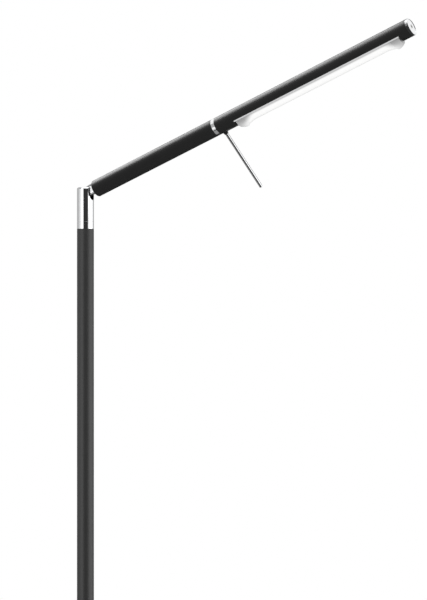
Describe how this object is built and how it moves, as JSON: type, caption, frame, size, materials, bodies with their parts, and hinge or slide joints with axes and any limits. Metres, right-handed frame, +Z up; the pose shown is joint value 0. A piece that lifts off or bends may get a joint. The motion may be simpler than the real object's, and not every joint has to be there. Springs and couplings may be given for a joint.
{
  "type": "floor lamp",
  "caption": "Floor reading lamp: round foot, tube pole, chrome swivel and tilt hinge, and a tubular arm whose light head rolls about its own axis by a rod handle.",
  "frame": {"origin": "centre of the foot's underside, on the floor, under the pole's axis", "axes": "+Z up along the pole; at rest the arm points to +X and rises 21.8 degrees above the horizontal; +Y is sideways, along the tilt screw, away from its blind end"},
  "size_m": [0.6506, 0.24, 1.3926],
  "materials": {
    "satin_black": "satin powder coat, near black",
    "chrome": "polished chrome plate",
    "raw_steel": "plain machined steel",
    "pad": "matt foam rubber",
    "black_rubber": "matt",
    "lead_sheath": "matt PVC",
    "friction_disc": "matt acetal",
    "sleeve": "matt insulating plastic",
    "circuit_green": "solder-masked glass epoxy",
    "components": "moulded component bodies",
    "sink": "extruded",
    "board_white": "white solder mask",
    "led": "white LED packages, lit",
    "cover_white": "pale grey moulded plastic",
    "opal": "opal diffuser, lit",
    "frosted": "frosted clear plastic"
  },
  "bodies": {
    "stand": {"base_pad": "pad", "base_plate": "satin_black", "base_screws": "raw_steel", "cord_gland": "black_rubber", "pole_foot": "raw_steel", "pole_collar": "satin_black", "pole_lower_tube": "satin_black", "pole_joiner": "raw_steel", "pole_upper_tube": "satin_black", "pole_top_plug": "raw_steel", "swivel_ring": "chrome", "pole_lead": "lead_sheath"},
    "fork": {"hinge_fork": "chrome", "tilt_screw": "chrome", "swivel_bolt": "raw_steel", "swivel_washer": "raw_steel", "swivel_nut": "raw_steel", "swivel_stop_pin": "raw_steel"},
    "arm": {"hinge_knuckle": "chrome", "friction_washers": "friction_disc", "arm_tube": "satin_black", "knuckle_grub_screw": "raw_steel", "roll_socket": "raw_steel", "driver_sleeve": "sleeve", "driver_board": "circuit_green", "driver_parts": "components", "arm_lead": "lead_sheath"},
    "head": {"roll_ring": "chrome", "roll_stop_pin": "raw_steel", "roll_spigot": "raw_steel", "spigot_clip": "raw_steel", "spigot_washer": "raw_steel", "head_tube": "satin_black", "head_grub_screw": "raw_steel", "handle_rod": "chrome", "handle_boss": "satin_black", "heat_sink": "sink", "led_board": "board_white", "board_screws": "raw_steel", "led_chips": "led", "cover_frame": "cover_white", "light_cover": "opal", "cover_end_inner": "frosted", "cover_end_outer": "frosted", "end_plug": "sink", "end_cap": "chrome", "cap_screw": "raw_steel", "head_lead": "lead_sheath"}
  },
  "joints": [
    {"name": "pole_swivel", "type": "hinge", "parent": "stand", "child": "fork", "pos_m": [0, 0, 1.1303], "axis": [0, 0, 1], "range_deg": [-160, 160]},
    {"name": "arm_tilt", "type": "hinge", "parent": "fork", "child": "arm", "pos_m": [0, 0, 1.1714], "axis": [0, -1, 0], "range_deg": [-21, 68]},
    {"name": "head_roll", "type": "hinge", "parent": "arm", "child": "head", "pos_m": [0.22117, 0, 1.25986], "axis": [0.9285, 0, 0.3714], "range_deg": [-191.4, 128.6]}
  ]
}
